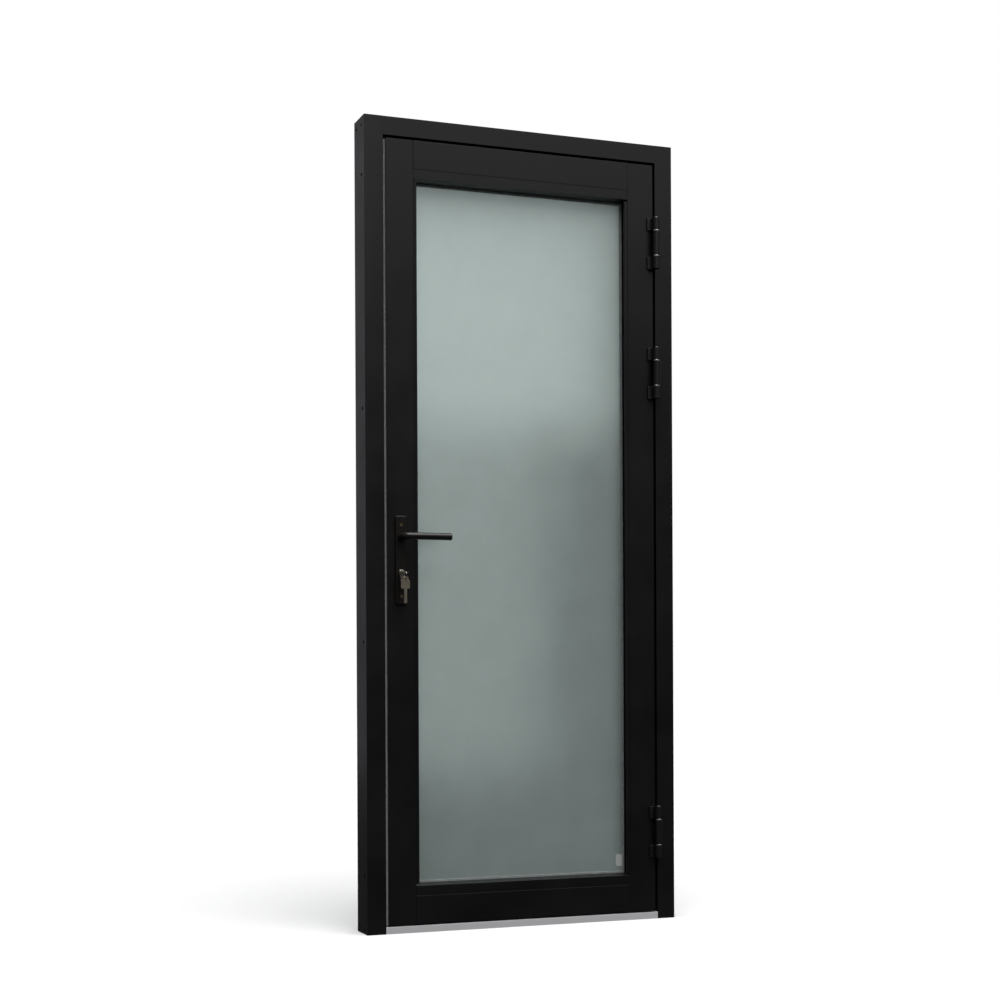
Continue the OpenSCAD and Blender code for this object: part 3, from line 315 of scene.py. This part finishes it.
def pick(piece, kind, test):
    """In edit mode, selects the edges or faces for which the test is true, and returns how many."""
    bpy.ops.mesh.select_mode(type=kind)
    bpy.ops.mesh.select_all(action="DESELECT")
    mesh = bmesh.from_edit_mesh(piece.data)
    found = [item for item in (mesh.edges if kind == "EDGE" else mesh.faces) if test(item)]
    for item in found:
        item.select_set(True)
    bmesh.update_edit_mesh(piece.data)
    return len(found)


def sharp(edge):
    """True for an edge that stands out and turns by 40 degrees or more."""
    return edge.is_manifold and edge.is_convex and edge.calc_face_angle(0) > math.radians(40)


def soften(piece, test, width, steps=2):
    """Bevels the chosen edges, then shades curves smoothly with normals weighed by area, so flats stay flat."""
    only(piece)
    bpy.ops.object.mode_set(mode="EDIT")
    count = pick(piece, "EDGE", test)
    if count:
        bpy.ops.mesh.bevel(offset=width, segments=steps, profile=0.5, affect="EDGES", clamp_overlap=False)
    bpy.ops.object.mode_set(mode="OBJECT")
    bpy.ops.object.shade_smooth_by_angle(angle=math.radians(50))
    weigh = piece.modifiers.new("keep_flats_flat", "WEIGHTED_NORMAL")
    weigh.keep_sharp = True
    bpy.ops.object.modifier_apply(modifier=weigh.name)
    return count


def settle(piece, node):
    """Gives a finished piece the material of its CAD node's slot, puts it on that node's body, and hides the CAD
    node that it stands for.
    """
    piece.data.materials.clear()
    piece.data.materials.append(finish[slot_of[node]])
    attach(piece, body_of[node])
    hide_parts(node)
    print(piece.name, len(piece.data.polygons), "faces, rides on", body_of[node])


# %% [markdown]
# ## Frame and leaf extrusions
# Each is a hollow section pushed through a die and sawn to length. A die can't make a razor edge: the corners
# that run along the section have a radius of about half a millimetre, and those of the thinner rails and beads a
# little less. These thin rounded lines catch the light and separate one black face from the next. Only long edges
# are bevelled, because sawn ends and screw holes stay sharp.

# %% Soften the extrusions
def runs_along(edge):
    """True for a sharp edge that runs along an extrusion."""
    return edge.calc_length() > 0.2 and sharp(edge)


for node, name in [
    ("jamb_lock", "jamb_lock_side"), ("jamb_hinge", "jamb_hinge_side"), ("head", "frame_head"),
    ("stile_lock", "leaf_lock_stile"), ("stile_hinge", "leaf_hinge_stile"), ("rail_top", "leaf_top_rail"),
    ("rail_bottom", "leaf_bottom_rail"), ("bead_top", "glazing_bead_top"), ("bead_bottom", "glazing_bead_bottom"),
    ("sill", "silver_sill"),
]:
    piece = copy_of(node, name)
    corner = 0.35 * MM if node.startswith(("rail", "bead")) else 0.5 * MM
    count = soften(piece, runs_along, corner)
    settle(piece, node)
    print("   long edges softened:", count)

# %% [markdown]
# ## Glazing trims
# The CAD stiles have no bead. A narrow lip is added down the inner edge of each, in front of the pane, where a
# glazed leaf has one. It slopes back towards the pane, so it takes the light at another angle than the stile's
# face and reads as an edge line. It is one long bar: a cube brought to size, its front inner edge pushed back to
# make the slope, and its edges rounded. The second is a mirrored copy, whose faces have to be turned outwards
# again.

# %% Trims
low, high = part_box("stile_lock")
foot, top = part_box("bead_bottom")[1].z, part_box("bead_top")[0].z
wall_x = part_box("rail_top")[0].x
trim_wide, trim_deep, slope, set_back = 9 * MM, 4.5 * MM, 2 * MM, 0.7 * MM
bpy.ops.object.select_all(action="DESELECT")
bpy.ops.mesh.primitive_cube_add(
    size=1, location=(wall_x + trim_wide / 2, low.y + set_back + trim_deep / 2, (foot + top) / 2)
)
trim = bpy.context.object
trim.name = "glazing_trim_lock_side"
trim.scale = (trim_wide, trim_deep, top - foot)
bpy.ops.object.transform_apply(location=True, rotation=True, scale=True)
bpy.ops.object.mode_set(mode="EDIT")
pick(
    trim, "EDGE",
    lambda edge: edge.calc_length() > 1 and all(
        v.co.x > wall_x + trim_wide / 2 and v.co.y < low.y + 2 * MM for v in edge.verts
    ),
)
bpy.ops.transform.translate(value=(0, slope, 0))
bpy.ops.object.mode_set(mode="OBJECT")
soften(trim, runs_along, 0.6 * MM, 3)
mirrored = trim.copy()
mirrored.data = trim.data.copy()
mirrored.name = "glazing_trim_hinge_side"
scene.collection.objects.link(mirrored)
only(mirrored)
mirrored.scale.x = -1
bpy.ops.object.transform_apply(location=True, rotation=True, scale=True)
bpy.ops.object.mode_set(mode="EDIT")
bpy.ops.mesh.select_all(action="SELECT")
bpy.ops.mesh.normals_make_consistent(inside=False)
bpy.ops.object.mode_set(mode="OBJECT")
for piece in (trim, mirrored):
    piece.data.materials.append(finish["powder_black"])
    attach(piece, "leaf")
    print(piece.name, len(piece.data.polygons), "faces")

# %% [markdown]
# ## The pane
# A pane is cut from a sheet and its cut edges are ground, which leaves a small chamfer all round. It starts as a
# cube at the pane's size, and all twelve edges are bevelled.

# %% Pane
pane_low, pane_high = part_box("glass")
bpy.ops.object.select_all(action="DESELECT")
bpy.ops.mesh.primitive_cube_add(size=1, location=(pane_low + pane_high) / 2)
pane = bpy.context.object
pane.name = "etched_pane"
pane.scale = pane_high - pane_low
bpy.ops.object.transform_apply(location=True, rotation=True, scale=True)
soften(pane, sharp, 0.8 * MM, 1)
settle(pane, "glass")

# %% [markdown]
# ## Gaskets
# The grey gasket shows as a strip all round the pane. Rubber can't hold a sharp edge, so its long edges are
# rounded by nearly a millimetre, and the strip then catches a line of light.

# %% Gaskets
for node, name in [("gasket_front", "gasket_outside"), ("gasket_back", "gasket_inside")]:
    piece = copy_of(node, name)
    soften(piece, runs_along, 0.8 * MM, 3)
    settle(piece, node)

# %% [markdown]
# ## Lever handles
# The lever is a round bar bent square, close to the plate. By hand: draw its circle on the plate, extrude it out
# as the neck, spin it a quarter turn round a point just past its own edge for the bend, and extrude again for
# the grip. Both ends are filled, and the rim of the free end gets a small round.

# %% Levers
def lever(name, node, way):
    """One lever: way is -1 where it stands out in front of the leaf, and 1 behind it."""
    low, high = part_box(node)
    radius = (high.z - low.z) / 2
    axis_x, axis_z = low.x + radius, low.z + radius
    start_y = high.y if way < 0 else low.y
    grip_y = low.y + radius if way < 0 else high.y - radius
    bend = radius + 1.5 * MM
    bpy.ops.object.select_all(action="DESELECT")
    bpy.ops.mesh.primitive_circle_add(
        vertices=64, radius=radius, location=(axis_x, start_y, axis_z), rotation=(math.radians(90), 0, 0)
    )
    piece = bpy.context.object
    piece.name = name
    bpy.ops.object.transform_apply(location=True, rotation=True, scale=True)
    bpy.ops.object.mode_set(mode="EDIT")
    bpy.ops.mesh.select_all(action="SELECT")
    neck = grip_y - way * bend - start_y
    bpy.ops.mesh.extrude_edges_move(TRANSFORM_OT_translate={"value": (0, neck, 0)})
    bpy.ops.mesh.spin(
        steps=12, angle=way * math.radians(90), center=(axis_x + bend, start_y + neck, axis_z), axis=(0, 0, 1)
    )
    grip = high.x - axis_x - bend
    bpy.ops.mesh.extrude_edges_move(TRANSFORM_OT_translate={"value": (grip, 0, 0)})
    bpy.ops.mesh.edge_face_add()
    pick(piece, "EDGE", lambda edge: edge.is_boundary)
    bpy.ops.mesh.edge_face_add()
    bpy.ops.mesh.select_all(action="SELECT")
    bpy.ops.mesh.remove_doubles(threshold=0.00001)
    bpy.ops.mesh.normals_make_consistent(inside=False)
    bpy.ops.object.mode_set(mode="OBJECT")
    soften(piece, lambda edge: min(v.co.x for v in edge.verts) > high.x - 0.1 * MM and sharp(edge), 1.0 * MM, 4)
    settle(piece, node)
    print("   spans", [round(v, 4) for v in piece.bound_box[0]], [round(v, 4) for v in piece.bound_box[6]])


lever("lever_outside", "lever_front", -1)
lever("lever_inside", "lever_back", 1)

# %% [markdown]
# ## Lever plates
# The plates are die-cast with their corners already rounded in CAD. What makes them look cast is the soft rim on
# the side that faces out, so only that outline is bevelled, and the holes for the cylinder and screws stay crisp.

# %% Plates
hole_zone, end_zone = 9.5 * MM, 6 * MM
for node, name, way in [("plate_front", "plate_outside", -1), ("plate_back", "plate_inside", 1)]:
    piece = copy_of(node, name)
    low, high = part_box(node)
    face_y = low.y if way < 0 else high.y
    mid_x = (low.x + high.x) / 2

    def on_rim(edge):
        """True for the outline of the outer face, which lies further out than any hole."""
        ends = [v.co for v in edge.verts]
        flat = all(abs(c.y - face_y) < 0.01 * MM for c in ends)
        out = all(
            abs(c.x - mid_x) > hole_zone or c.z < low.z + end_zone or c.z > high.z - end_zone for c in ends
        )
        return flat and out and sharp(edge)

    count = soften(piece, on_rim, 1.5 * MM, 4)
    settle(piece, node)
    print("   rim edges rounded:", count)

# %% [markdown]
# ## Profile cylinder
# Its round nose and the plug in it are turned brass with a nickel plate. A turned end always has a small chamfer,
# which shows as a bright ring round the keyway, so the rims of both ends are bevelled.

# %% Cylinder
for node, name, width in [
    ("cylinder_body", "cylinder_shell", 0.5), ("cylinder_plug_front", "cylinder_nose", 0.3),
    ("cylinder_plug_back", "cylinder_nose_inside", 0.3),
]:
    piece = copy_of(node, name)
    low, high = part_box(node)
    soften(
        piece,
        lambda edge: sharp(edge) and (
            all(abs(v.co.y - low.y) < 0.01 * MM for v in edge.verts)
            or all(abs(v.co.y - high.y) < 0.01 * MM for v in edge.verts)
        ),
        width * MM, 2,
    )
    settle(piece, node)

# %% [markdown]
# ## Keys
# A key is blanked from sheet, so its outline has a small rounded edge on both faces. The key in the lock lies
# level, and the second one hangs from its ring and faces the viewer, with a sunk panel in its bow.

# %% Keys
for node, name in [("key", "key_in_lock"), ("spare_key", "key_on_ring")]:
    piece = copy_of(node, name)
    soften(piece, sharp, 0.22 * MM, 2)
    settle(piece, node)

# %% [markdown]
# ## Key ring
# A split ring is two turns of springy wire side by side. One torus at half the thickness is made, copied to the
# other side, and the two are joined. The groove between them is what makes it read as a split ring.

# %% Key ring
low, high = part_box("key_ring")
wire = (high.x - low.x) / 4
middle = (low + high) / 2
turns = []
for side in (-1, 1):
    bpy.ops.object.select_all(action="DESELECT")
    bpy.ops.mesh.primitive_torus_add(
        major_segments=64, minor_segments=12, major_radius=(high.z - low.z) / 2 - wire, minor_radius=wire,
        location=(middle.x + side * wire, middle.y, middle.z), rotation=(0, math.radians(90), 0),
    )
    bpy.ops.object.transform_apply(location=True, rotation=True, scale=True)
    turns.append(bpy.context.object)
turns[0].name = "split_ring"
only(turns[0])
turns[1].select_set(True)
bpy.ops.object.join()
bpy.ops.object.shade_smooth_by_angle(angle=math.radians(60))
settle(turns[0], "key_ring")

# %% [markdown]
# ## Hinges
# Each hinge is a black steel wing on the frame with its knuckle between two knuckles on the leaf. Steel is sawn
# and tumbled, so the ends of the knuckles and wings are slightly rounded. Those rims are found by their height:
# they lie in the end planes of each knuckle. The edge of the pin's bore is left alone.

# %% Hinge wings
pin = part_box("hinge_pins")
pin_x, pin_y = (pin[0].x + pin[1].x) / 2, (pin[0].y + pin[1].y) / 2
knuckle, bore_zone = 33 * MM, 6.5 * MM


def knuckle_end(edge, levels):
    """True for a sharp edge in one of the end planes, outside the pin's bore."""
    a, b = (v.co for v in edge.verts)
    level = any(abs(a.z - z) < 0.01 * MM and abs(b.z - z) < 0.01 * MM for z in levels)
    away = math.hypot((a.x + b.x) / 2 - pin_x, (a.y + b.y) / 2 - pin_y) > bore_zone
    return level and away and sharp(edge)


for place_name in ("top", "upper", "bottom"):
    for kind in ("frame_wing", "door_wings"):
        node = f"hinge_{place_name}_{kind}"
        low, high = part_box(node)
        levels = [low.z, high.z] + ([low.z + knuckle, high.z - knuckle] if kind == "door_wings" else [])
        piece = copy_of(node, f"hinge_{place_name}_{'fixed' if kind == 'frame_wing' else 'moving'}")
        count = soften(piece, lambda edge: knuckle_end(edge, levels), 0.6 * MM, 3)
        settle(piece, node)
        print("   rims rounded:", count)

# %% [markdown]
# ## Hinge washers and pins
# Between the knuckles turn bright steel washers, the only shining spots on the hinge side. One washer is made: a
# cylinder, bevelled at both rims. The other five are copies of it with their own meshes. The pins keep their CAD
# shape, with the rim of each cap rounded.

# %% Washers
low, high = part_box("hinge_washers")
washer_thick, play = 3 * MM, 0.1 * MM
bpy.ops.object.select_all(action="DESELECT")
bpy.ops.mesh.primitive_cylinder_add(
    vertices=64, radius=(high.x - low.x) / 2, depth=washer_thick, location=(pin_x, pin_y, low.z + washer_thick / 2)
)
washers = bpy.context.object
washers.name = "bright_washers"
bpy.ops.object.transform_apply(location=True, rotation=True, scale=True)
soften(washers, sharp, 0.5 * MM, 3)
heights = []
for hinge in ("top", "upper", "bottom"):
    wing_low, wing_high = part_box(f"hinge_{hinge}_frame_wing")
    heights += [wing_low.z - play - washer_thick, wing_high.z + play]
copies = []
for z in sorted(heights)[1:]:
    twin = washers.copy()
    twin.data = washers.data.copy()
    scene.collection.objects.link(twin)
    only(twin)
    twin.location.z = z - low.z
    bpy.ops.object.transform_apply(location=True, rotation=True, scale=True)
    copies.append(twin)
only(washers)
for twin in copies:
    twin.select_set(True)
bpy.ops.object.join()
settle(washers, "hinge_washers")

# %% Pins
piece = copy_of("hinge_pins", "hinge_pin_caps")
soften(piece, sharp, 0.5 * MM, 3)
settle(piece, "hinge_pins")

# %% [markdown]
# ## Pile strip
# The strip in the lock edge is a narrow tape with rows of short fibres that brush the jamb. From the front it is
# the thin pale line between leaf and jamb. One tuft is a block that narrows to its tip. An Array modifier repeats
# it every 2 mm, and a cloud texture pushes the tufts a little out of line, as in a real brush. A thin block
# behind them is the tape.

# %% Pile strip
low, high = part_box("pile_strip")
tape = 1.4 * MM
pitch = 2.0 * MM
bpy.ops.object.select_all(action="DESELECT")
bpy.ops.mesh.primitive_cube_add(
    size=1, location=((low.x + high.x - tape) / 2, (low.y + high.y) / 2, low.z + pitch / 2)
)
brush = bpy.context.object
brush.name = "pile_brush"
brush.scale = (high.x - low.x - tape, (high.y - low.y) * 0.92, pitch * 0.9)
bpy.ops.object.transform_apply(location=True, rotation=True, scale=True)
bpy.ops.object.mode_set(mode="EDIT")
bpy.ops.mesh.select_all(action="SELECT")
bpy.ops.mesh.subdivide(number_cuts=2)
pick(brush, "FACE", lambda face: face.calc_center_median().x < low.x + 0.1 * MM)
bpy.ops.transform.resize(value=(1, 0.8, 0.6))
bpy.ops.object.mode_set(mode="OBJECT")
repeat = brush.modifiers.new("repeat", "ARRAY")
repeat.use_relative_offset = False
repeat.use_constant_offset = True
repeat.constant_offset_displace = (0, 0, pitch)
repeat.count = int((high.z - low.z) / pitch)
bpy.ops.object.modifier_apply(modifier="repeat")
clouds = bpy.data.textures.new("brush_clouds", "CLOUDS")
clouds.noise_scale = 0.006
ruffle = brush.modifiers.new("ruffle", "DISPLACE")
ruffle.texture = clouds
ruffle.direction = "Y"
ruffle.strength = 0.5 * MM
bpy.ops.object.modifier_apply(modifier="ruffle")
bpy.ops.object.select_all(action="DESELECT")
bpy.ops.mesh.primitive_cube_add(size=1, location=(high.x - tape / 2, (low.y + high.y) / 2, (low.z + high.z) / 2))
backing = bpy.context.object
backing.scale = (tape, high.y - low.y, high.z - low.z)
bpy.ops.object.transform_apply(location=True, rotation=True, scale=True)
only(brush)
backing.select_set(True)
bpy.ops.object.join()
settle(brush, "pile_strip")

# %% [markdown]
# ## Lock edge
# When the leaf stands open, its edge shows the forend with the latch and deadbolt, and the jamb shows the strike.
# These are pressed and machined steel, so their outlines have only a small deburred edge.

# %% Forend, bolts and strike
for node, name, width in [
    ("forend", "lock_forend", 0.3), ("strike_plate", "jamb_strike", 0.3), ("latch_bolt", "latch", 0.5),
    ("deadbolt", "dead_bolt", 0.5),
]:
    piece = copy_of(node, name)
    soften(piece, lambda edge: edge.calc_length() > 5 * MM and sharp(edge), width * MM, 2)
    settle(piece, node)

# %% [markdown]
# ## Blank label
# A small pale sticker sits low on the pane, blank. It is a paper-thin block with rounded corners.

# %% Label
paper, tree, shader, place = start_material("label_paper", {"IOR": 1.45})
fibre = add(tree, "ShaderNodeTexNoise", {"Scale": 1 / 0.002, "Detail": 3.0}, {"Vector": place})
paper_tint = add(tree, "ShaderNodeValToRGB", links={"Fac": fibre.outputs["Fac"]})
paper_tint.color_ramp.elements[0].color = colour("#b4b8b5")
paper_tint.color_ramp.elements[1].color = colour("#c6c9c6")
paper_dull = add(tree, "ShaderNodeMapRange", {"To Min": 0.55, "To Max": 0.7}, {"Value": fibre.outputs["Fac"]})
tree.links.new(paper_tint.outputs["Color"], shader.inputs["Base Color"])
tree.links.new(paper_dull.outputs["Result"], shader.inputs["Roughness"])
label_size = (19 * MM, 0.2 * MM, 31 * MM)
label_x, label_z = 0.2845, 0.1595
bpy.ops.object.select_all(action="DESELECT")
bpy.ops.mesh.primitive_cube_add(size=1, location=(label_x, pane_low.y - label_size[1] / 2, label_z))
label = bpy.context.object
label.name = "blank_label"
label.scale = label_size
bpy.ops.object.transform_apply(location=True, rotation=True, scale=True)
soften(label, lambda edge: abs(edge.verts[0].co.y - edge.verts[1].co.y) > 0.1 * MM, 1.5 * MM, 4)
label.data.materials.append(paper)
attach(label, "leaf")
print(label.name, len(label.data.polygons), "faces")

# %% [markdown]
# ## Floor and light
# The floor is plain and pale, and takes a soft shadow so that the door stands on something. An overhead sun with
# a wide angle is a soft ceiling light. A large soft panel in front and above lights the upper half of the door
# most, so black faces and glass fall off towards the floor. A cooler panel behind and to the left lights the outer
# side of the frame. Two panels close behind the pane, a bright one above a dim one, glow through the frosting.
# The world is pale to the eye, and for reflections it is bright above the horizon and dark below it, as in a hall
# with a dark floor.

# %% Floor
bpy.ops.object.select_all(action="DESELECT")
bpy.ops.mesh.primitive_plane_add(size=60, location=(0, 0, 0))
floor = bpy.context.object
floor.name = "floor"
chalk, tree, shader, place = start_material("pale_floor_paint", {"IOR": 1.45})
grain = add(tree, "ShaderNodeTexNoise", {"Scale": 1 / 0.05, "Detail": 3.0}, {"Vector": place})
floor_tint = add(tree, "ShaderNodeValToRGB", links={"Fac": grain.outputs["Fac"]})
floor_tint.color_ramp.elements[0].color = colour("#f6f6f5")
floor_tint.color_ramp.elements[1].color = colour("#f9f9f8")
floor_dull = add(tree, "ShaderNodeMapRange", {"To Min": 0.85, "To Max": 0.95}, {"Value": grain.outputs["Fac"]})
tree.links.new(floor_tint.outputs["Color"], shader.inputs["Base Color"])
tree.links.new(floor_dull.outputs["Result"], shader.inputs["Roughness"])
floor.data.materials.append(chalk)
floor.visible_diffuse = False
floor.visible_glossy = False
floor.visible_transmission = False
print("floor at z", floor.location.z)

# %% Lights
def light(kind, name, energy, location, turn, **settings):
    """Adds one light and sets it up."""
    bpy.ops.object.select_all(action="DESELECT")
    bpy.ops.object.light_add(type=kind, location=location, rotation=[math.radians(a) for a in turn])
    lamp = bpy.context.object
    lamp.name = name
    lamp.data.energy = energy
    for key, value in settings.items():
        setattr(lamp.data, key, value)
    print(name, energy)
    return lamp


light("SUN", "soft_ceiling", 3.3, (0, 0, 6), (21, 0, 0), angle=math.radians(60))
light("AREA", "high_front_panel", 8.5, (1.2, -3.0, 3.25), (65, 0, 0), shape="RECTANGLE", size=3.2, size_y=1.4)
light(
    "AREA", "cool_side_panel", 3.4, (-1.7, 3.0, 1.7), (-90, 0, -20),
    shape="RECTANGLE", size=2.0, size_y=3.0, color=(0.94, 0.93, 1.0),
).visible_camera = False
left_x, panel_y = -0.42, 0.35
for name, glow, right_x, low_z, high_z in [
    ("upper_back_panel", 0.95, 0.42, 1.37, 2.02), ("lower_back_panel", 0.41, 0.22, 0.38, 1.37)
]:
    wide, tall = right_x - left_x, high_z - low_z
    lamp = light(
        "AREA", name, glow * math.pi * wide * tall, (right_x - wide / 2, panel_y, low_z + tall / 2), (-90, 0, 0),
        shape="RECTANGLE", size=wide, size_y=tall,
    )
    lamp.visible_camera = False

# %% World
world = bpy.data.worlds.new("studio")
scene.world = world
world.use_nodes = True
tree = world.node_tree
tree.nodes.clear()
path = add(tree, "ShaderNodeLightPath")
aim = add(tree, "ShaderNodeTexCoord").outputs["Generated"]
height = add(tree, "ShaderNodeSeparateXYZ", links={"Vector": aim}).outputs["Z"]
sky = add(tree, "ShaderNodeValToRGB", links={"Fac": height})
sky.color_ramp.elements[0].position, sky.color_ramp.elements[1].position = 0.0, 0.5
sky.color_ramp.elements[0].color = (0.05, 0.05, 0.053, 1)
sky.color_ramp.elements[1].color = (0.24, 0.24, 0.25, 1)
seen = add(tree, "ShaderNodeBackground", {"Color": (1, 1, 1, 1), "Strength": 1.0})
felt = add(tree, "ShaderNodeBackground", {"Strength": 1.0}, {"Color": sky.outputs["Color"]})
either = add(
    tree, "ShaderNodeMixShader", links={0: path.outputs["Is Camera Ray"], 1: felt.outputs[0], 2: seen.outputs[0]}
)
add(tree, "ShaderNodeOutputWorld", links={"Surface": either.outputs[0]})
print("world", len(tree.nodes), "nodes")
